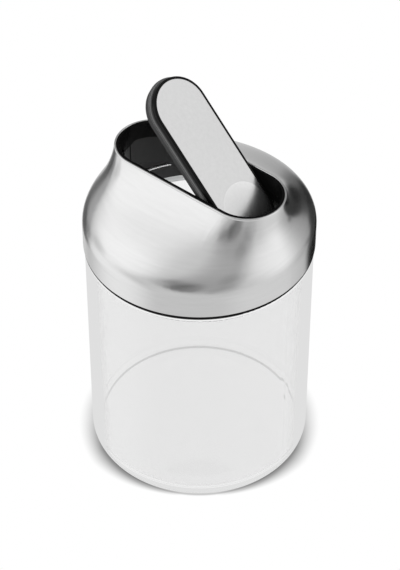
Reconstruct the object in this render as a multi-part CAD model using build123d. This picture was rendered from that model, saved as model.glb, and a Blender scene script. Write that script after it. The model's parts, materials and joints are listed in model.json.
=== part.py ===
from build123d import *
import os
from math import cos, sin, radians

# Glass storage jar with a steel lid and a push-to-tip flap, in millimetres.
# The origin is the middle of the jar's foot on the table, +Z is up, and +X points to the end of the
# flap that is pushed down. The flap is built shut and then tipped open, as it stands when in use.

# Glass jar
jar_radius = 55.05
jar_height = 124.8
glass_wall = 2.5
floor_thickness = 4.5
foot_corner = 6.7
floor_corner = 4.5
punt_radius = 40.0
punt_depth = 1.2

# Black collar that closes the lid from below
rim_gap = 0.2
flange_thickness = 1.3
flange_overhang = 0.55
spigot_fit = 0.35
spigot_drop = 0.8
collar_wall = 2.6
upstand_wall = 1.6
upstand_height = 6.0
upstand_round = 0.55
hook_count = 8
hook_arc = 9.0
hook_wall = 1.2
hook_height = 4.9
barb_reach = 0.7
barb_height = 1.4

# Silicone seal that hangs in a T-slot under the collar
slot_stem = 0.9
slot_head = 1.6
slot_depth = 1.7
slot_head_height = 0.7
seal_drop = 4.0
seal_wall = 1.6
seal_round = 0.5
seal_lip = 0.6
seal_lip_rise = 0.5
seal_lip_drops = (0.9, 2.9)
lip_to_glass = 0.25

# Steel cap
band_overhang = 0.2
band_height = 11.4
dome_rise = 30.6
sheet = 0.5
bead_height = 1.0
hem_drop = 2.0
hem_overlap = 0.1
end_shoulder = 10.9
end_neck = 18.1
side_shoulder = 11.7
side_neck = 19.1
side_slope = 43.7
shoulder_join = 45.0
dome_steps = 12
dome_crowding = 1.5

# Mouth, shared by the cap, its liner and the flap
mouth_straight = 28.5
mouth_radius = 17.5

# Black liner under the steel
liner_gap = 0.15
liner_wall = 1.6
lip_wall = 1.05
throat_wall = 1.5
throat_depth = 25.4
lip_below_rim = 0.1
band_below_rim = 9.3
panel_depth = 0.7
panel_corner = 2.2
end_rib_half = 2.8
ear_half = 5.0
ear_radius = 3.2
ear_length = 3.1
stop_reach = 2.0
stop_width = 1.6
shut_stop_x = 8.0
open_stop_x = 22.0
stop_clearance = 0.4
barb_play = 0.2

# Flap
flap_below_rim = 0.7
bezel_gap = 1.2
bezel_width = 1.2
bezel_round = 0.5
face_round = 0.2
face_sheet = 0.6
face_below_bezel = 0.1
pad_thickness = 0.5
pad_inset = 1.2
face_fit = 0.1
frame_rim = 2.4
skirt_wall = 1.3
seal_band_gap = 1.0
seal_band_wall = 1.7
seal_band_round = 0.4
seal_band_lip_gap = 0.35
seal_band_lip_drop = 4.6
seal_band_lip_height = 0.9
seal_band_lip_round = 0.35
flap_thickness = 8.4
cover_thickness = 1.2
cover_gap = 1.3
cover_chamfer = 0.4
cover_spigot_height = 1.6
cover_spigot_wall = 1.0
cover_spigot_gap = 0.1
rib_wall = 1.0
rib_depth = 2.4
rib_places = (-22.0, -11.0, 0.0, 25.0)
open_angle = 45.3

# Hinge
pivot_x = 18.0
pivot_below_face = 6.5
pin_radius = 1.0
pin_running_gap = 0.05
pin_chamfer = 0.2
pin_head_radius = 1.9
pin_head_height = 0.8
pin_head_room = 0.2
pin_grip = 4.4
hinge_boss_radius = 2.6
hinge_boss_length = 5.1
hinge_boss_room = 0.2
ring_radius = 2.4
ring_chamfer = 0.4
ring_side_gap = 0.35

# Flap screws
screw_x = 31.0
screw_y = 6.5
screw_radius = 1.0
screw_length = 5.0
screw_point = 0.4
screw_hole_spare = 0.5
screw_head_radius = 1.9
screw_head_height = 0.9
screw_boss_radius = 2.2
recess_span = 2.4
recess_width = 0.5
recess_depth = 0.5

seat = 0.05

# Radii that follow from the sizes above
glass_bore = jar_radius - glass_wall
spigot_radius = glass_bore - spigot_fit
collar_bore = spigot_radius - collar_wall
flange_radius = jar_radius + flange_overhang
band_radius = flange_radius + band_overhang
bead_radius = mouth_radius + 2 * sheet
throat_radius = mouth_radius - liner_gap - lip_wall
ear_face = throat_radius + ear_length
bezel_radius = throat_radius - bezel_gap
face_radius = bezel_radius - bezel_width
cover_radius = throat_radius - cover_gap
seal_band_radius = throat_radius - seal_band_gap
seal_band_lip_radius = throat_radius - seal_band_lip_gap
frame_skirt = seal_band_radius - seal_band_wall
pin_inner_end = frame_skirt - pin_grip
hinge_boss_inner = frame_skirt - hinge_boss_length
hook_radius = band_radius - sheet - liner_gap - liner_wall - stop_clearance

# Heights that follow from the sizes above
flange_low = jar_height + rim_gap
flange_top = flange_low + flange_thickness
shoulder_z = flange_top + band_height
neck_z = shoulder_z + dome_rise
rim_z = neck_z + bead_height
spigot_low = flange_low - spigot_drop
barb_low = flange_top + hook_height - barb_height
hem_low = rim_z - bead_height - hem_drop
liner_top = rim_z - lip_below_rim
ledge_z = hem_low - rim_gap
throat_low = liner_top - throat_depth
panel_top = rim_z - band_below_rim
face_z = rim_z - flap_below_rim
flap_low = face_z - flap_thickness
pivot_z = face_z - pivot_below_face

os.makedirs("parts", exist_ok=True)


def slab(radius, low, high):
    """Upright prism on the mouth's long outline, with half-round ends of the given radius."""
    outline = SlotCenterToCenter(2 * mouth_straight, 2 * radius)
    return extrude(Plane.XY.offset(low) * outline, high - low)


def band(outer, inner, low, high):
    """Upright wall that follows the mouth's outline."""
    return slab(outer, low, high) - slab(inner, low, high)


def turned(outline):
    """Ring or bowl turned about the jar's axis from an outline in the XZ plane."""
    return revolve(Plane.XZ * outline, Axis.Z)


def turned_ring(inner, outer, low, high):
    return turned(Pos((inner + outer) / 2, (low + high) / 2) * Rectangle(outer - inner, high - low))


def rims(shape, height):
    """Edges of a shape that lie at a height."""
    return shape.edges().filter_by_position(Axis.Z, height - seat, height + seat)


def across(x, z, radius, inner, outer):
    """Round bar along +Y at a place on the side of the flap or throat."""
    return extrude(Plane((x, inner, z), z_dir=(0, 1, 0)) * Circle(radius), outer - inner)


def both_sides(shape):
    return shape + mirror(shape, Plane.XZ)


def hinge_line(radius, inner, outer):
    return across(pivot_x, pivot_z, radius, inner, outer)


def tipped(shape):
    """The shut flap's place to the open one, turned about the hinge."""
    return Pos(pivot_x, 0, pivot_z) * Rot(0, open_angle, 0) * Pos(-pivot_x, 0, -pivot_z) * shape


# Dome of the cap: each level is an oval of two end arcs and two side arcs

def meridian(half_mouth, shoulder_pull, neck_pull, slope):
    """Curve from the band's top edge to the mouth's edge, as reach and height."""
    foot = Vector(band_radius, shoulder_z)
    top = Vector(half_mouth, neck_z)
    lean = Vector(cos(radians(slope)), -sin(radians(slope)))
    return Bezier(foot, foot + Vector(0, shoulder_pull), top + lean * neck_pull, top)


end_curve = meridian(mouth_straight + bead_radius, end_shoulder, end_neck, 90)
side_curve = meridian(bead_radius, side_shoulder, side_neck, side_slope)


def reach(curve, inset, height):
    """Distance from the axis to the skin at a height, for a skin set in by a wall."""
    def point(t):
        lean = curve % t
        return curve @ t + Vector(-lean.Y, lean.X) * inset

    if height <= point(0).Y:
        return band_radius - inset
    if height >= point(1).Y:
        return (curve @ 1).X - inset
    low, high = 0.0, 1.0
    for step in range(30):
        middle = (low + high) / 2
        if point(middle).Y < height:
            low = middle
        else:
            high = middle
    return point(low).X


def oval(half_length, half_width, join, height):
    """Level outline. The join is the angle of the normal where end arc and side arc meet."""
    if join > 89.9:
        return Plane.XY.offset(height) * SlotCenterToCenter(2 * (half_length - half_width), 2 * half_width)
    c, s = cos(radians(join)), sin(radians(join))
    end_radius = (half_width * c - half_length * (1 - s)) / (c + s - 1)
    x = half_length - end_radius * (1 - c)
    y = end_radius * s
    arcs = [
        ThreePointArc((x, -y), (half_length, 0), (x, y)),
        ThreePointArc((x, y), (0, half_width), (-x, y)),
        ThreePointArc((-x, y), (-half_length, 0), (-x, -y)),
        ThreePointArc((-x, -y), (0, -half_width), (x, -y)),
    ]
    return Plane.XY.offset(height) * make_face(arcs)


def dome(inset, low, high):
    """Solid cap form set in by a wall: an upright band, and a loft whose levels crowd at the shoulder."""
    upright = Pos(0, 0, (low + shoulder_z) / 2) * Cylinder(band_radius - inset, shoulder_z - low)
    sections = []
    for step in range(dome_steps + 1):
        height = shoulder_z + (high - shoulder_z) * (step / dome_steps) ** dome_crowding
        half_length = reach(end_curve, inset, height)
        narrow = bead_radius - inset
        half_width = max(reach(side_curve, inset, height), narrow)
        spread = (half_width - narrow) / (band_radius - bead_radius)
        sections.append(oval(half_length, half_width, 90 - (90 - shoulder_join) * spread, height))
    return upright + loft(sections)


def glass_jar():
    """Blown jar: a punt under the foot, a round foot corner and a fire-polished rim."""
    rim_radius = glass_wall / 2
    outline = [
        ThreePointArc((0, punt_depth), (punt_radius / 2, punt_depth * 0.75), (punt_radius, 0)),
        Line((punt_radius, 0), (jar_radius - foot_corner, 0)),
        RadiusArc((jar_radius - foot_corner, 0), (jar_radius, foot_corner), -foot_corner),
        Line((jar_radius, foot_corner), (jar_radius, jar_height - rim_radius)),
        ThreePointArc((jar_radius, jar_height - rim_radius), (jar_radius - rim_radius, jar_height),
                      (glass_bore, jar_height - rim_radius)),
        Line((glass_bore, jar_height - rim_radius), (glass_bore, floor_thickness + floor_corner)),
        RadiusArc((glass_bore, floor_thickness + floor_corner),
                  (glass_bore - floor_corner, floor_thickness), floor_corner),
        Line((glass_bore - floor_corner, floor_thickness), (0, floor_thickness)),
        Line((0, floor_thickness), (0, punt_depth)),
    ]
    return turned(make_face(outline))


def steel_cap():
    """Deep-drawn skin whose edge is folded inward round the mouth into a full-round bead."""
    form = dome(0, flange_top, neck_z) + slab(bead_radius, neck_z, rim_z)
    hem = slab(mouth_radius + sheet + hem_overlap, hem_low, neck_z)
    cap = form - (dome(sheet, flange_top, neck_z) - hem) - slab(mouth_radius, flange_top, rim_z)
    return fillet(rims(cap, rim_z), sheet - seat)


def slot_outline(clearance):
    """T-slot under the collar, or with a clearance the tongue that fills it."""
    middle = (collar_bore + spigot_radius) / 2
    top = spigot_low + slot_depth - clearance
    head_low = spigot_low + slot_depth - slot_head_height + clearance
    stem = Pos(middle, (spigot_low + top) / 2) * Rectangle(slot_stem - 2 * clearance, top - spigot_low)
    head = Pos(middle, (head_low + top) / 2) * Rectangle(slot_head - 2 * clearance, top - head_low)
    return stem + head


def lid_collar():
    """Ring with the flange that shows over the glass, snap hooks above and the seal's slot below."""
    ring = turned_ring(collar_bore, spigot_radius, spigot_low, flange_top)
    ring += turned_ring(spigot_radius - seat, flange_radius, flange_low, flange_top)
    upstand = turned_ring(collar_bore, collar_bore + upstand_wall, flange_top, flange_top + upstand_height)
    ring += upstand
    top_edges = ring.edges().group_by(Axis.Z)[-1]
    ring = fillet(top_edges, upstand_round)
    ring -= turned(slot_outline(0))
    return ring + hooks()


def hooks():
    """Snap hooks on the flange whose barbs catch in the liner's groove."""
    low, high = flange_top - seat, flange_top + hook_height
    outline = make_face(Polyline(
        (hook_radius - hook_wall, low), (hook_radius, low), (hook_radius, barb_low),
        (hook_radius + barb_reach, barb_low), (hook_radius, high), (hook_radius - hook_wall, high),
        close=True))
    hook = revolve(Plane.XZ * outline, Axis.Z, hook_arc)
    return [Rot(0, 0, 360 / hook_count * number) * hook for number in range(hook_count)]


def jar_seal():
    """Soft ring with a tongue in the collar's slot and two lips that wipe the glass."""
    middle = (collar_bore + spigot_radius) / 2
    outer = middle + seal_wall / 2
    top = spigot_low - seat
    body = Pos(middle, top - seal_drop / 2) * Rectangle(seal_wall, seal_drop)
    body = fillet(body.vertices().group_by(Axis.Y)[0], seal_round)
    tongue = slot_outline(seat) + Pos(middle, spigot_low) * Rectangle(slot_stem - 2 * seat, 2 * seat)
    tip = glass_bore - lip_to_glass
    profile = body + tongue
    for drop in seal_lip_drops:
        root = top - drop
        profile += make_face(Polyline(
            (outer - seat, root - seal_lip), (tip, root + seal_lip_rise - seal_lip / 2),
            (tip, root + seal_lip_rise), (outer - seat, root), close=True))
    return turned(profile)


def throat():
    """Long chute the flap swings in: a lip inside the steel bead and a wall below it."""
    lip = band(mouth_radius - liner_gap, throat_radius, ledge_z, liner_top)
    return lip + band(throat_radius + throat_wall, throat_radius, throat_low, ledge_z)


def panels():
    """Shallow recesses in the chute's wall, open below, between the end ribs and the hinge ears."""
    sunk = band(throat_radius + panel_depth, throat_radius - throat_wall, throat_low, panel_top)
    height = panel_top - throat_low
    middle = (panel_top + throat_low) / 2
    rib = Pos(0, 0, middle) * Box(4 * mouth_straight, 2 * end_rib_half, height)
    ears = Pos(pivot_x, 0, middle) * Box(2 * ear_half, 4 * throat_radius, height)
    sunk = sunk - rib - ears
    ends = rims(sunk, panel_top).filter_by(lambda edge: edge.length < 2 * (panel_depth + throat_wall))
    return fillet(ends, panel_corner)


def stops():
    """Ribs on the throat's sides: one pair stops the shut flap, the other stops the open one."""
    wall = throat_radius + throat_wall / 2
    middle = wall - (stop_reach + throat_wall / 2) / 2
    depth = stop_reach + throat_wall / 2

    def rib(x, top):
        return Pos(x, middle, (throat_low + top) / 2) * Box(stop_width, depth, top - throat_low)

    flap_room = slab(throat_radius + throat_wall, flap_low - stop_clearance, rim_z)
    shut = rib(shut_stop_x, flap_low - stop_clearance)
    opened = rib(open_stop_x, panel_top) - tipped(flap_room)
    return both_sides(shut + opened)


def mouth_liner():
    """Moulding under the steel: inner dome, throat with panels, ears, stops and a skirt groove."""
    inset = sheet + liner_gap
    form = dome(inset, flange_top + seat, ledge_z)
    shell = form - dome(inset + liner_wall, flange_top + seat, ledge_z - liner_wall)
    ears = both_sides(hinge_line(ear_radius, throat_radius, ear_face)) & form
    liner = shell + throat() + ears
    liner -= slab(throat_radius, throat_low - throat_wall, rim_z)
    liner -= panels()
    liner += stops()
    liner -= both_sides(hinge_line(pin_radius + seat / 2, throat_radius - throat_wall, ear_face + seat))
    liner -= both_sides(hinge_line(pin_head_radius + pin_head_room, ear_face, band_radius))
    skirt_bore = hook_radius + stop_clearance
    groove_low = barb_low - barb_play
    groove_high = barb_low + barb_height + barb_play
    return liner - turned_ring(skirt_bore - liner_wall, skirt_bore + barb_reach, groove_low, groove_high)


def hinge_pin():
    """Headed pin pushed in from outside the throat, before the steel goes over it."""
    shank = hinge_line(pin_radius, pin_inner_end, ear_face + seat)
    head = hinge_line(pin_head_radius, ear_face + seat, ear_face + seat + pin_head_height)
    pin = shank + head
    ends = pin.edges().filter_by(GeomType.CIRCLE).group_by(Axis.Y)
    return chamfer(ends[0] + ends[-1], pin_chamfer)


def hinge_ring():
    """Rubber ring round the pin that drags on the throat and holds the flap where it is put."""
    outer_y = throat_radius - ring_side_gap
    ring = hinge_line(ring_radius, frame_skirt + seat, outer_y)
    ring -= hinge_line(pin_radius + 2 * pin_running_gap, frame_skirt, outer_y)
    corners = ring.edges().filter_by(GeomType.CIRCLE).sort_by(SortBy.RADIUS)[-2:]
    return chamfer(corners, ring_chamfer)


def screw_places():
    return [(x, y) for x in (-screw_x, screw_x) for y in (-screw_y, screw_y)]


def flap_frame():
    """Tray with a thin bezel, a skirt for the rubber band, hinge bosses, screw bosses and ribs."""
    pocket_floor = face_z - face_below_bezel - face_sheet - pad_thickness
    deck_low = face_z - frame_rim
    skirt_low = flap_low + cover_thickness + seat
    plate = slab(bezel_radius, deck_low, face_z)
    frame = fillet(rims(plate, face_z), bezel_round) - slab(face_radius + face_fit, pocket_floor, face_z)
    frame += band(frame_skirt, frame_skirt - skirt_wall, skirt_low, deck_low)
    boss = hinge_line(hinge_boss_radius, hinge_boss_inner, frame_skirt)
    web_height = deck_low - pivot_z
    web = Pos(pivot_x, (hinge_boss_inner + frame_skirt) / 2, pivot_z + web_height / 2) * Box(
        2 * hinge_boss_radius, frame_skirt - hinge_boss_inner, web_height)
    frame += both_sides(boss + web)
    for x in rib_places:
        width = 2 * (frame_skirt - skirt_wall / 2)
        frame += Pos(x, 0, deck_low - rib_depth / 2) * Box(rib_wall, width, rib_depth)
    for x, y in screw_places():
        post = Pos(x, y, (skirt_low + deck_low) / 2) * Cylinder(screw_boss_radius, deck_low - skirt_low)
        hole_depth = screw_length + screw_hole_spare
        hole = Pos(x, y, flap_low + hole_depth / 2) * Cylinder(screw_radius + seat / 2, hole_depth)
        frame = frame + post - hole
    bores = hinge_line(pin_radius + pin_running_gap, hinge_boss_inner - seat, frame_skirt + seat)
    return frame - both_sides(bores)


def flap_face():
    """Steel plate let into the frame."""
    top = face_z - face_below_bezel
    plate = slab(face_radius, top - face_sheet, top)
    return fillet(rims(plate, top), face_round)


def face_pad():
    """Adhesive pad between plate and frame."""
    top = face_z - face_below_bezel - face_sheet
    return slab(face_radius - pad_inset, top - pad_thickness, top)


def boss_notch(inner):
    """Room round a hinge boss, open below, from inside a wall to clear outside the flap."""
    radius = hinge_boss_radius + hinge_boss_room
    depth = throat_radius - inner
    slot = Pos(pivot_x, inner + depth / 2, pivot_z - radius / 2) * Box(2 * radius, depth, radius)
    return hinge_line(radius, inner, throat_radius) + slot


def flap_seal():
    """Rubber band round the flap, with a lip that closes on the throat, notched at the hinge."""
    top = face_z - frame_rim - seat
    low = flap_low + cover_thickness + seat
    ring = slab(seal_band_radius, low, top)
    ring = fillet(rims(ring, top), seal_band_round)
    lip_z = face_z - seal_band_lip_drop
    lip_top = lip_z + seal_band_lip_height / 2
    lip = slab(seal_band_lip_radius, lip_z - seal_band_lip_height / 2, lip_top)
    lip = fillet(rims(lip, lip_top), seal_band_lip_round)
    ring = ring + lip - slab(frame_skirt + seat, low, top)
    return ring - both_sides(boss_notch(frame_skirt - seat))


def flap_cover():
    """Plate under the flap that holds the rubber band, notched for the hinge bosses."""
    top = flap_low + cover_thickness
    plate = slab(cover_radius, flap_low, top)
    plate = chamfer(rims(plate, flap_low), cover_chamfer)
    outer = frame_skirt - skirt_wall - cover_spigot_gap
    spigot = band(outer, outer - cover_spigot_wall, top, top + cover_spigot_height)
    cover = plate + spigot - both_sides(boss_notch(hinge_boss_inner - hinge_boss_room))
    for x, y in screw_places():
        head = Pos(x, y, flap_low + screw_head_height / 2) * Cone(
            screw_head_radius + seat, screw_radius + 2 * seat, screw_head_height)
        hole = Pos(x, y, flap_low + cover_thickness / 2) * Cylinder(screw_radius + 2 * seat, cover_thickness)
        cover = cover - head - hole
    return cover


def flap_screws():
    """Countersunk screws with a cross recess, up through the cover into the frame's posts."""
    head = Pos(0, 0, screw_head_height / 2) * Cone(screw_head_radius, screw_radius, screw_head_height)
    shank = Pos(0, 0, screw_length / 2) * Cylinder(screw_radius, screw_length)
    screw = chamfer((head + shank).edges().group_by(Axis.Z)[-1], screw_point)
    for turn in (0, 90):
        slot = Pos(0, 0, recess_depth / 2) * Box(recess_span, recess_width, recess_depth)
        screw -= Rot(0, 0, turn) * slot
    return Compound([Pos(x, y, flap_low + seat / 2) * screw for x, y in screw_places()])


pin_back = hinge_pin()
ring_back = hinge_ring()
nodes = {
    "glass_jar": glass_jar(),
    "steel_cap": steel_cap(),
    "mouth_liner": mouth_liner(),
    "lid_collar": lid_collar(),
    "jar_seal": jar_seal(),
    "hinge_pin_back": pin_back,
    "hinge_pin_front": mirror(pin_back, Plane.XZ),
    "hinge_ring_back": tipped(ring_back),
    "hinge_ring_front": tipped(mirror(ring_back, Plane.XZ)),
    "flap_frame": tipped(flap_frame()),
    "flap_face": tipped(flap_face()),
    "face_pad": tipped(face_pad()),
    "flap_seal": tipped(flap_seal()),
    "flap_cover": tipped(flap_cover()),
    "flap_screws": tipped(flap_screws()),
}
for name, shape in nodes.items():
    export_step(shape, f"parts/{name}.step")
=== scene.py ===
import json
import math
import bpy
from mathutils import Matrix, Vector

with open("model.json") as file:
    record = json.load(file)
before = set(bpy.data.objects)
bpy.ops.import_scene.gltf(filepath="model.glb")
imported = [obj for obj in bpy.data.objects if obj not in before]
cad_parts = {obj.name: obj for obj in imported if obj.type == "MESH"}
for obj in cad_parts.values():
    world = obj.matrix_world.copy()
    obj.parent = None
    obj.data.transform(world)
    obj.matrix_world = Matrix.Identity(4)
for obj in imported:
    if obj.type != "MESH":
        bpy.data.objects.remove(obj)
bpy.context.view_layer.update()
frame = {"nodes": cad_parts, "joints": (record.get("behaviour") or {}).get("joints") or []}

# Glass storage jar with a steel lid and a push-to-tip flap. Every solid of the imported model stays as
# it is and gets its finish here. The order is that of assembly: jar, lid from below, steel, flap.

nodes = frame["nodes"]


# Glass jar
# Blown clear soda glass, 2.5 mm thick, with a thicker floor and a fire-polished rim. It stands free
# and carries the lid on its rim.

glass_grey = 0.888
glass_index = 1.47
glass_shadow = 0.93
ripple_scale = 14.0
ripple_strength = 0.03
ripple_height = 0.001
floor_ring_radius = 0.0525
floor_ring_half = 0.0006
floor_ring_top = 0.003
painted_ring_grey = 0.5


class Amount:
    """A number that the shader works out at each point, so that a formula reads as a plain sum."""

    def __init__(self, tree, socket):
        self.tree = tree
        self.socket = socket

    def __add__(self, other):
        return work(self.tree, "ADD", self, other)

    def __sub__(self, other):
        return work(self.tree, "SUBTRACT", self, other)

    def __rsub__(self, other):
        return work(self.tree, "SUBTRACT", other, self)

    def __mul__(self, other):
        return work(self.tree, "MULTIPLY", self, other)

    def __truediv__(self, other):
        return work(self.tree, "DIVIDE", self, other)

    def __pow__(self, other):
        return work(self.tree, "POWER", self, other)

    def __abs__(self):
        return work(self.tree, "ABSOLUTE", self)

    def __gt__(self, other):
        return work(self.tree, "GREATER_THAN", self, other)

    def __lt__(self, other):
        return work(self.tree, "LESS_THAN", self, other)

    def at_least(self, other):
        return work(self.tree, "MAXIMUM", self, other)

    def at_most(self, other):
        return work(self.tree, "MINIMUM", self, other)


def put(value, socket):
    """Links a socket to an amount, or gives it a plain value."""
    if isinstance(value, Amount):
        value.tree.links.new(value.socket, socket)
    else:
        socket.default_value = value


def work(tree, operation, *values):
    """Math node on amounts and plain numbers."""
    node = tree.nodes.new("ShaderNodeMath")
    node.operation = operation
    for value, socket in zip(values, node.inputs):
        put(value, socket)
    return Amount(tree, node.outputs["Value"])


def new_material(name):
    material = bpy.data.materials.new(name)
    material.use_nodes = True
    return material, material.node_tree


def shader(tree):
    return tree.nodes["Principled BSDF"]


def finish(names, material):
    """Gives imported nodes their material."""
    for name in names:
        node = nodes[name]
        node.data.materials.clear()
        node.data.materials.append(material)


def place(tree, kind, **inputs):
    """Adds a node and sets its inputs by name, with _ for a space."""
    node = tree.nodes.new(kind)
    for key, value in inputs.items():
        put(value, node.inputs[key.replace("_", " ")])
    return node


def part_point(tree):
    """The point in the part's own frame, in metres."""
    return tree.nodes.new("ShaderNodeTexCoord").outputs["Object"]


def along(tree, vector, direction):
    """How far a vector socket reaches in a direction."""
    node = tree.nodes.new("ShaderNodeVectorMath")
    node.operation = "DOT_PRODUCT"
    node.inputs[1].default_value = direction
    tree.links.new(vector, node.inputs[0])
    return Amount(tree, node.outputs["Value"])


def coordinate(tree, name):
    """The point's x, y or z."""
    return along(tree, part_point(tree), [float(name == axis) for axis in "xyz"])


def from_axis(tree):
    """The point's distance from the jar's upright axis."""
    x = coordinate(tree, "x")
    y = coordinate(tree, "y")
    return (x * x + y * y) ** 0.5


def spread(amount, low, high, from_low=0.0, from_high=1.0, kind="LINEAR"):
    """Runs from low to high while the amount runs over its own range, and stays within them."""
    node = place(amount.tree, "ShaderNodeMapRange", Value=amount, From_Min=from_low, From_Max=from_high,
                 To_Min=low, To_Max=high)
    node.interpolation_type = kind
    return Amount(amount.tree, node.outputs["Result"])


def noise(tree, vector, scale, detail, roughness=0.5):
    node = place(tree, "ShaderNodeTexNoise", Scale=scale, Detail=detail, Roughness=roughness)
    tree.links.new(vector, node.inputs["Vector"])
    return Amount(tree, node.outputs["Fac"])


def even(level):
    """A grey colour from a plain number."""
    return (level, level, level, 1.0)


def grey(amount):
    """A grey colour socket from an amount."""
    node = place(amount.tree, "ShaderNodeCombineColor", Red=amount, Green=amount, Blue=amount)
    return node.outputs["Color"]


def ray(tree, label):
    """1 for light of the kind that the label names, or how often it has bounced."""
    return Amount(tree, tree.nodes.new("ShaderNodeLightPath").outputs[label])


def mixed(tree, share, first, second):
    """Two surfaces: the first where share is 0, the second where it is 1."""
    node = place(tree, "ShaderNodeMixShader", Fac=share)
    tree.links.new(first, node.inputs[1])
    tree.links.new(second, node.inputs[2])
    return node.outputs["Shader"]


glass, tree = new_material("clear_glass")
body = shader(tree)
body.inputs["Roughness"].default_value = 0.0
body.inputs["IOR"].default_value = glass_index
body.inputs["Transmission Weight"].default_value = 1.0
wave = noise(tree, part_point(tree), ripple_scale, detail=1.0)
ripple = place(tree, "ShaderNodeBump", Strength=ripple_strength, Distance=ripple_height, Height=wave)
tree.links.new(ripple.outputs["Normal"], body.inputs["Normal"])
z = coordinate(tree, "z")
radius = from_axis(tree)
# Painted shade: a thin dark ring is painted into the glass near its floor, where the foot's edge shows
# through, and it also dims the edge glow.
ring = (abs(radius - floor_ring_radius) < floor_ring_half) * (z < floor_ring_top)
tree.links.new(grey(spread(ring, glass_grey, painted_ring_grey)), body.inputs["Base Color"])

# Where light would be caught between the faces of the thick foot, the glass shows an even painted glow
# instead.
foot_painted_glow = 0.8
caught_after = 1.5

glow = place(tree, "ShaderNodeEmission", Color=even(foot_painted_glow))
caught = ray(tree, "Glossy Depth") > caught_after
surface = mixed(tree, caught, body.outputs["BSDF"], glow.outputs["Emission"])

# Seen edge-on, the wall shows an even pale grey painted glow in place of the light it would carry round
# from all sides. The outside of the rim gets a painted highlight up to its top edge, and that edge gets a
# painted dark reflection of the black flange.
edge_glow = 0.74
edge_from = 0.62
edge_to = 0.7
rim_above = 0.1229
rim_outside = 0.0541
rim_highlight_gain = 0.2
rim_dark_above = 0.1239
rim_dark_depth = 0.96
ring_dimming = 0.3

slant = Amount(tree, place(tree, "ShaderNodeLayerWeight", Blend=0.5).outputs["Facing"])
edge_on = spread(slant, 0.0, 1.0, edge_from, edge_to)
# Painted highlight on the outside of the rim, and a painted dark reflection along its top edge.
rim = (z > rim_above) * (radius > rim_outside)
rim_dark = rim * (z > rim_dark_above) * rim_dark_depth
strength = (1.0 - ring * ring_dimming + rim * rim_highlight_gain) * (1.0 - rim_dark)
painted_edge_light = place(tree, "ShaderNodeEmission", Color=even(edge_glow), Strength=strength)
painted_edge_share = edge_on.at_least(rim) * ray(tree, "Is Camera Ray")
surface = mixed(tree, painted_edge_share, surface, painted_edge_light.outputs["Emission"])

lets_through = place(tree, "ShaderNodeBsdfTransparent", Color=even(glass_shadow))
surface = mixed(tree, ray(tree, "Is Shadow Ray"), surface, lets_through.outputs["BSDF"])
tree.links.new(surface, tree.nodes["Material Output"].inputs["Surface"])
finish(["glass_jar"], glass)


# Seal under the lid
# One ring of clear silicone, pressed into the collar's slot. It is milky where it is thick and wipes
# the inside of the jar with two lips.

silicone_colour = (0.84, 0.85, 0.85, 1.0)
silicone_index = 1.41
silicone_clearness = 0.8
silicone_cloud = 90.0
silicone_rough = (0.38, 0.5)

silicone, tree = new_material("clear_silicone")
body = shader(tree)
body.inputs["Base Color"].default_value = silicone_colour
body.inputs["IOR"].default_value = silicone_index
body.inputs["Transmission Weight"].default_value = silicone_clearness
cloud = noise(tree, part_point(tree), silicone_cloud, detail=2.0)
put(spread(cloud, *silicone_rough), body.inputs["Roughness"])
finish(["jar_seal"], silicone)


# Black mouldings
# Collar, mouth liner and flap cover are moulded in black ABS with a fine spark-eroded grain. The
# flap's frame comes from a polished tool, so its bezel is smooth.

grain_strength = 0.35
gloss_patches = 60.0


def group(name, inputs, outputs):
    """Empty shader node group with named sockets: inputs is {name: (type, default)}."""
    tree = bpy.data.node_groups.new(name, "ShaderNodeTree")
    for label, (kind, default) in inputs.items():
        socket = tree.interface.new_socket(label, in_out="INPUT", socket_type=kind)
        if default is not None:
            socket.default_value = default
    for label in outputs:
        tree.interface.new_socket(label, in_out="OUTPUT", socket_type="NodeSocketFloat")
    return tree, tree.nodes.new("NodeGroupInput"), tree.nodes.new("NodeGroupOutput")


def add_group(tree, made, **inputs):
    node = tree.nodes.new("ShaderNodeGroup")
    node.node_tree = made
    for key, value in inputs.items():
        node.inputs[key].default_value = value
    return node


def moulding_grain():
    """Fine grain of a moulded face: a height, and a mask for small changes in gloss."""
    made, start, end = group("moulding_grain", {"Scale": ("NodeSocketFloat", 1.0)}, ("Height", "Gloss"))
    point = part_point(made)
    scale = Amount(made, start.outputs["Scale"])
    put(noise(made, point, scale, detail=3.0, roughness=0.6), end.inputs["Height"])
    put(noise(made, point, gloss_patches, detail=2.0), end.inputs["Gloss"])
    return made


grain_group = moulding_grain()


def moulding(name, level, specular, grain, depth, rough):
    """Black plastic, rubber or foam with a grain of some scale, and its depth in metres."""
    material, tree = new_material(name)
    body = shader(tree)
    body.inputs["Base Color"].default_value = even(level)
    body.inputs["Specular IOR Level"].default_value = specular
    skin = add_group(tree, grain_group, Scale=grain)
    relief = place(tree, "ShaderNodeBump", Strength=grain_strength, Distance=depth)
    tree.links.new(skin.outputs["Height"], relief.inputs["Height"])
    tree.links.new(relief.outputs["Normal"], body.inputs["Normal"])
    put(spread(Amount(tree, skin.outputs["Gloss"]), *rough), body.inputs["Roughness"])
    return material


black_moulding = moulding("black_moulding", level=0.012, specular=0.3, grain=2600.0, depth=0.00004,
                          rough=(0.34, 0.46))
flap_moulding = moulding("flap_moulding", level=0.004, specular=0.08, grain=1200.0, depth=0.00001,
                         rough=(0.18, 0.3))
finish(["flap_cover"], black_moulding)
finish(["flap_frame"], flap_moulding)

# Liner and collar have two finishes each. A polished stretch is darker than the grained ones.
grained_grey = 0.013
polished_grey = 0.0035
grained_specular = 0.2
polished_specular = 0.02
polished_rough = 0.2


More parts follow.
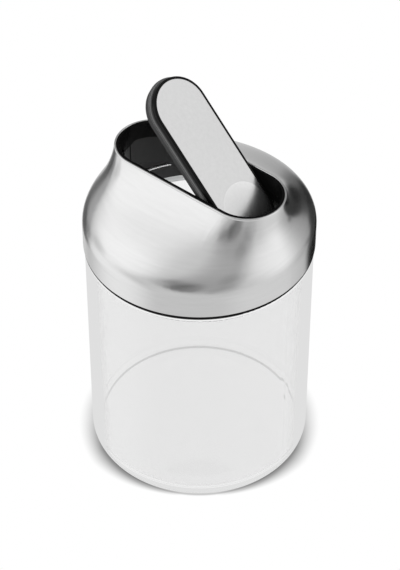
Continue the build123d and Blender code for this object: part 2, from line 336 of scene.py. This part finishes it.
def two_finishes(name, find):
    """Grained moulding, polished where find gives 1, and painted paler as painted light where it gives
    less than 0.
    """
    material = moulding(name, level=grained_grey, specular=grained_specular, grain=2600.0, depth=0.00003,
                        rough=(0.34, 0.46))
    tree = material.node_tree
    body = shader(tree)
    polished = find(tree)
    smooth = place(tree, "ShaderNodeMix", Factor=polished, B=polished_rough)
    tree.links.new(body.inputs["Roughness"].links[0].from_socket, smooth.inputs["A"])
    tree.links.new(smooth.outputs["Result"], body.inputs["Roughness"])
    level = polished * (polished_grey - grained_grey) + grained_grey
    tree.links.new(grey(level), body.inputs["Base Color"])
    put(spread(polished, grained_specular, polished_specular), body.inputs["Specular IOR Level"])
    return material


# The throat is polished above its panel and at its short end. The panel's upper line dips round the long
# end, where a thin dark polished line is painted as shade along the side of the end rib. The liner's
# skirt is painted paler, as painted light from below through the jar.
panel_top = 0.16
panel_slope = 0.28
panel_dips_from = 0.008
panel_dips_to = 0.0027
panel_ends = 0.0255
rib_shade_y = 0.0016
rib_shade_half = 0.0004
skirt_top = 0.1345
skirt_lit_paler = 3.0


def off_the_panel(tree):
    x = coordinate(tree, "x")
    y = coordinate(tree, "y")
    z = coordinate(tree, "z")
    dip = ((panel_dips_from - y) * panel_slope).at_least(0.0).at_most(panel_dips_to)
    above = (z + dip) > panel_top
    # Painted shade: a thin dark line along the side of the end rib.
    rib_shade = (abs(y - rib_shade_y) < rib_shade_half) * (x < 0.0)
    polished = above.at_least(x > panel_ends).at_least(rib_shade)
    # Painted light: the skirt is made paler, as if lit from below through the jar.
    return polished - (z < skirt_top) * skirt_lit_paler


finish(["mouth_liner"], two_finishes("liner_moulding", off_the_panel))

# The collar's flange is polished where it shows under the steel. A painted highlight runs as a pale line
# along the collar's upper edge.
flange_inside = 0.053
highlight_above = 0.1318
highlight_grey = 1.0


def outer_flange(tree):
    return from_axis(tree) > flange_inside


collar_moulding = two_finishes("collar_moulding", outer_flange)
tree = collar_moulding.node_tree
body = shader(tree)
# Painted highlight: a white base colour along the collar's upper edge.
pale = tree.nodes.new("ShaderNodeMix")
pale.data_type = "RGBA"
pale.inputs["B"].default_value = even(highlight_grey)
put(coordinate(tree, "z") > highlight_above, pale.inputs["Factor"])
tree.links.new(body.inputs["Base Color"].links[0].from_socket, pale.inputs["A"])
tree.links.new(pale.outputs["Result"], body.inputs["Base Color"])
finish(["lid_collar"], collar_moulding)


# Hinge pins and screws
# Drawn stainless pins pressed in from outside the throat before the steel goes on, and four small
# countersunk screws of the same steel under the flap.

pin_colour = (0.68, 0.68, 0.67, 1.0)
pin_turning = 1500.0
pin_rough = (0.2, 0.34)

pin_steel, tree = new_material("pin_steel")
body = shader(tree)
body.inputs["Base Color"].default_value = pin_colour
body.inputs["Metallic"].default_value = 1.0
turning = noise(tree, part_point(tree), pin_turning, detail=2.0)
put(spread(turning, *pin_rough), body.inputs["Roughness"])
finish(["hinge_pin_back", "hinge_pin_front", "flap_screws"], pin_steel)


# Steel skin of the lid
# 0.5 mm stainless sheet, deep drawn and then brushed level by level, so the lines run round the dome.
# Its edge is folded in round the mouth.

brush_lines = 900.0
brush_clouds = 25.0
brush_strength = 0.25
tone_swing = 0.018
noise_low = 0.3
noise_high = 0.7


def brushed_lines():
    """Brush marks: fine lines, drawn out where the vector is squeezed, and clouds of gloss."""
    made, start, end = group("brushed_lines", {"Vector": ("NodeSocketVector", None),
                                               "Lines": ("NodeSocketFloat", 1.0),
                                               "Clouds": ("NodeSocketFloat", 1.0)}, ("Height", "Gloss"))
    lines = Amount(made, start.outputs["Lines"])
    clouds = Amount(made, start.outputs["Clouds"])
    put(noise(made, start.outputs["Vector"], lines, detail=4.0, roughness=0.65), end.inputs["Height"])
    put(noise(made, start.outputs["Vector"], clouds, detail=2.0), end.inputs["Gloss"])
    return made


brush_group = brushed_lines()


def brushed_steel(name, tone, stretch, turn, depth, rough):
    """Satin steel whose pattern is squeezed by stretch, and so drawn out, and then turned by turn."""
    material, tree = new_material(name)
    body = shader(tree)
    body.inputs["Metallic"].default_value = 1.0
    lay = place(tree, "ShaderNodeMapping", Rotation=turn, Scale=stretch)
    marks = add_group(tree, brush_group, Lines=brush_lines, Clouds=brush_clouds)
    relief = place(tree, "ShaderNodeBump", Strength=brush_strength, Distance=depth)
    tree.links.new(part_point(tree), lay.inputs["Vector"])
    tree.links.new(lay.outputs["Vector"], marks.inputs["Vector"])
    tree.links.new(marks.outputs["Height"], relief.inputs["Height"])
    tree.links.new(relief.outputs["Normal"], body.inputs["Normal"])
    lines = Amount(tree, marks.outputs["Height"])
    gloss = Amount(tree, marks.outputs["Gloss"])
    level = spread(lines, tone - tone_swing, tone + tone_swing, noise_low, noise_high)
    tree.links.new(grey(level), body.inputs["Base Color"])
    put(spread(gloss, *rough, noise_low, noise_high), body.inputs["Roughness"])
    return material


cap_steel = brushed_steel("brushed_cap_steel", tone=0.78, stretch=(0.06, 0.06, 1.0), turn=(0.0, 0.0, 0.0),
                          depth=0.00002, rough=(0.15, 0.2))
finish(["steel_cap"], cap_steel)


# Rubber parts of the flap
# A dark grey EPDM band closes the flap on the throat. Two small black rings on the pins give the
# hinge its drag.

flap_joint = {joint["name"]: joint for joint in frame["joints"]}["flap_tilt"]
hinge = Vector(flap_joint["pos_m"])
open_angle = math.radians(flap_joint["range_deg"][1])
face_normal = Vector((math.sin(open_angle), 0.0, math.cos(open_angle)))
face_above_hinge = 0.0065
lip_below_face = 0.0037
lip_spread = 0.0007
band_grey = 0.042
lip_highlight_grey = 0.15

# The band's lip is painted paler along its crest, a painted highlight.
grey_rubber = moulding("grey_rubber", level=band_grey, specular=0.1, grain=1800.0, depth=0.00003,
                       rough=(0.42, 0.56))
tree = grey_rubber.node_tree
crest = hinge.dot(face_normal) + face_above_hinge - lip_below_face
away = abs(crest - along(tree, part_point(tree), face_normal)) / lip_spread
crest_highlight = (1.0 - away * away).at_least(0.0)
tree.links.new(grey(spread(crest_highlight, band_grey, lip_highlight_grey)), shader(tree).inputs["Base Color"])
finish(["flap_seal"], grey_rubber)

black_rubber = moulding("black_rubber", level=0.016, specular=0.3, grain=1800.0, depth=0.00003,
                        rough=(0.5, 0.65))
finish(["hinge_ring_back", "hinge_ring_front"], black_rubber)


# Flap's steel plate and its pad
# 0.6 mm plate with a fine, almost even satin grain, held in the frame by a black foam pad.

face_steel = brushed_steel("brushed_face_steel", tone=0.68, stretch=(0.03, 1.0, 1.0),
                           turn=(0.0, -open_angle, 0.0), depth=0.00001, rough=(0.2, 0.26))
finish(["flap_face"], face_steel)

# A shallow round thumb mark is ground into the end that is pushed. It is evenly dished, and a painted
# highlight makes it brighter towards its edge.
mark_past_hinge = 0.0087
mark_radius = 0.0128
mark_slope = 0.06
mark_highlight = 0.16
pushed_way = Vector((math.cos(open_angle), 0.0, -math.sin(open_angle)))
mark_centre = hinge + face_normal * face_above_hinge + pushed_way * mark_past_hinge

tree = face_steel.node_tree
body = shader(tree)
from_mark = tree.nodes.new("ShaderNodeVectorMath")
from_mark.operation = "DISTANCE"
from_mark.inputs[1].default_value = mark_centre
tree.links.new(part_point(tree), from_mark.inputs[0])
span = Amount(tree, from_mark.outputs["Value"])
hollow = (span * span - mark_radius ** 2).at_most(0.0) * (mark_slope / (2 * mark_radius))
dished = place(tree, "ShaderNodeBump", Strength=1.0, Distance=1.0, Height=hollow)
tree.links.new(body.inputs["Normal"].links[0].from_socket, dished.inputs["Normal"])
tree.links.new(dished.outputs["Normal"], body.inputs["Normal"])
# Painted highlight: the base colour is raised towards the mark's edge.
outward = (span / mark_radius) * (span < mark_radius)
brighter = tree.nodes.new("ShaderNodeVectorMath")
brighter.operation = "SCALE"
tree.links.new(body.inputs["Base Color"].links[0].from_socket, brighter.inputs[0])
put(outward * outward * mark_highlight + 1.0, brighter.inputs["Scale"])
tree.links.new(brighter.outputs["Vector"], body.inputs["Base Color"])

pad_foam = moulding("pad_foam", level=0.03, specular=0.1, grain=900.0, depth=0.0001, rough=(0.7, 0.9))
finish(["face_pad"], pad_foam)


# Floor
# A plain white sweep. It shows only to the camera and to soft light. The jar's shadow is drawn on it
# by a formula and falls away from the camera, because light comes from the camera's side.

camera_azimuth = 40.1
floor_size = 6.0
floor_paint = 0.8
shadow_start = 0.0535
shadow_reach = 0.009
shadow_depth = 0.74
shadow_behind = 0.65
shadow_fade = 1.3
side_rise = 1.33
back_rise = 3.0
front_rise = 2.5
gap_width = 1.2
gap_fade = 2.3
contact_inside = 0.0522
contact_gone = 0.0532
contact_depth = 0.42

floor_mesh = bpy.data.meshes.new("floor")
half = floor_size / 2
corners = [(-half, -half, 0), (half, -half, 0), (half, half, 0), (-half, half, 0)]
floor_mesh.from_pydata(corners, [], [(0, 1, 2, 3)])
floor = bpy.data.objects.new("floor", floor_mesh)
bpy.context.scene.collection.objects.link(floor)
floor.visible_glossy = False
floor.visible_transmission = False

floor_material, tree = new_material("floor_white")
tree.nodes.remove(shader(tree))
front = math.radians(camera_azimuth)
distance = from_axis(tree)
cosine = along(tree, part_point(tree), (math.sin(front), -math.cos(front), 0.0)) / distance
sine = abs(along(tree, part_point(tree), (math.cos(front), math.sin(front), 0.0)) / distance)

# The shadow is widest beside the jar, paler behind it, and stops in a gap in front.
sideways = sine.at_least((cosine * -back_rise).at_most(1.0))
gap = ((1.0 - sideways) * gap_width) ** gap_fade
in_front = (cosine.at_least(0.0) * front_rise).at_most(1.0)
darkest = (1.0 - gap).at_least(0.0) * (in_front * (1.0 - shadow_behind) + shadow_behind) * shadow_depth
reach = (sideways * sideways * side_rise).at_most(1.0) * shadow_reach
left = (1.0 - (distance - shadow_start).at_least(0.0) / reach).at_least(0.0)
shade = 1.0 - left ** shadow_fade * darkest

# A narrow painted shadow runs round the foot, where it all but touches the floor.
touching = spread(distance, 1.0 - contact_depth, 1.0, contact_inside, contact_gone)

shown = place(tree, "ShaderNodeEmission", Color=even(1.0), Strength=shade * touching)
paint = place(tree, "ShaderNodeBsdfDiffuse", Color=even(floor_paint))
surface = mixed(tree, ray(tree, "Is Camera Ray"), paint.outputs["BSDF"], shown.outputs["Emission"])
tree.links.new(surface, tree.nodes["Material Output"].inputs["Surface"])
floor_mesh.materials.append(floor_material)


# Studio
# White for the camera and through glass. Mirror-like surfaces see soft white panels with grey flags
# between them, given as an azimuth and elevation from the object, in degrees.

around = 0.672
soft_below = 0.15
soft_above = 2.0
soft_from = -0.3
panels = [
    # azimuth, elevation, full to this many degrees, gone at this many, light added
    (-51, 34, 7, 41, 0.43),
    (128, 19, 2, 55, 0.37),
    (-46, -25, 1, 41, 0.34),
    (131, -42, 27, 52, 0.1),
]
flags = [
    # azimuth, elevation, full to this many degrees, gone at this many, share of the light kept
    # on the camera's side, for the smudges on the dome, with one clear patch between them
    (14, 23, 11, 22, 0.76),
    (12, 32, 4, 9, 0.66),
    (26, 13, 10, 20, 0.42),
    (33, 13, 4, 13, 1.46),
    (44, 21, 2, 44, 0.59),
    (64, 22, 6, 11, 0.79),
    (67, 8, 4, 16, 0.88),
    (60, -9, 9, 19, 0.79),
    # on the left, for the dark edges of dome and neck
    (-63, 8, 4, 12, 0.76),
    (-80, -8, 3, 9, 0.66),
    (-91, -16, 3, 9, 0.6),
    (-100, -23, 1, 22, 0.33),
    (-102, -10, 24, 28, 0.6),
    # behind and to the right, for the dark shoulder beside the mouth and the right edge
    (157, -22, 1, 5, 0.48),
    (171, -4, 1, 53, 0.45),
    (-178, -25, 16, 21, 0.1),
    (-167, -13, 6, 11, 0.36),
    (-168, -44, 10, 13, 0.02),
    (-143, -67, 4, 19, 0.49),
    # high behind, for the inside of the throat
    (-140, 48, 25, 50, 0.4),
]


def toward(azimuth, elevation):
    a = math.radians(azimuth)
    e = math.radians(elevation)
    return Vector((math.sin(a) * math.cos(e), -math.cos(a) * math.cos(e), math.sin(e)))


def patch(tree, direction, azimuth, elevation, core, edge, outside, inside):
    """A soft round patch of the studio: one value outside it and another inside."""
    facing = along(tree, direction, toward(azimuth, elevation))
    gone = math.cos(math.radians(edge))
    full = math.cos(math.radians(core))
    return spread(facing, outside, inside, gone, full, "SMOOTHSTEP")


world = bpy.data.worlds.new("studio")
bpy.context.scene.world = world
world.use_nodes = True
tree = world.node_tree
tree.nodes.clear()
direction = tree.nodes.new("ShaderNodeTexCoord").outputs["Generated"]
level = tree.nodes.new("ShaderNodeValue").outputs["Value"]
level.default_value = around
mirrored = Amount(tree, level)
for *size, light in panels:
    mirrored = mirrored + patch(tree, direction, *size, 0.0, light)
for *size, kept in flags:
    mirrored = mirrored * patch(tree, direction, *size, 1.0, kept)
upward = along(tree, direction, (0.0, 0.0, 1.0))
from_above = spread(upward, soft_below, soft_above, soft_from, 1.0)
studio = place(tree, "ShaderNodeBackground", Color=even(1.0), Strength=mirrored)
soft = place(tree, "ShaderNodeBackground", Color=even(1.0), Strength=from_above)
white = place(tree, "ShaderNodeBackground", Color=even(1.0), Strength=1.0)
mirror = ray(tree, "Is Glossy Ray")
surface = mixed(tree, mirror, soft.outputs["Background"], studio.outputs["Background"])
seen = ray(tree, "Is Camera Ray").at_least(ray(tree, "Is Transmission Ray"))
surface = mixed(tree, seen, surface, white.outputs["Background"])
output = tree.nodes.new("ShaderNodeOutputWorld")
tree.links.new(surface, output.inputs["Surface"])


# Fill light
# Stands for the light that comes up through the jar. It only reaches the liner and the collar.

fill_power = 0.07
fill_height = 0.118
fill_size = 0.01

fill = bpy.data.objects.new("fill_light", bpy.data.lights.new("fill_light", "POINT"))
bpy.context.scene.collection.objects.link(fill)
fill.location = (0.0, 0.0, fill_height)
fill.data.energy = fill_power
fill.data.shadow_soft_size = fill_size
fill.data.use_shadow = False
fill.visible_glossy = False
lit = bpy.data.collections.new("lit_by_fill")
for name in ("mouth_liner", "lid_collar"):
    lit.objects.link(nodes[name])
fill.light_linking.receiver_collection = lit


# Camera
# Upright and about a metre away. It looks down by some 43 degrees from beside the flap's low end.

camera_elevation = 42.75
camera_distance = 1.0469
camera_lens = 135.07
camera_shift = 0.00114
aim = Vector((0.0, 0.0, 0.0950))

camera = bpy.data.objects.new("camera", bpy.data.cameras.new("camera"))
bpy.context.scene.collection.objects.link(camera)
camera.data.sensor_width = 36.0
camera.data.lens = camera_lens
camera.data.shift_x = camera_shift
camera.data.clip_start = 0.05
camera.data.clip_end = 20.0
out = toward(camera_azimuth, camera_elevation)
camera.location = aim + out * camera_distance
camera.rotation_mode = "QUATERNION"
camera.rotation_quaternion = (-out).to_track_quat("-Z", "Y")
bpy.context.scene.camera = camera

bpy.context.scene.view_settings.view_transform = "Standard"
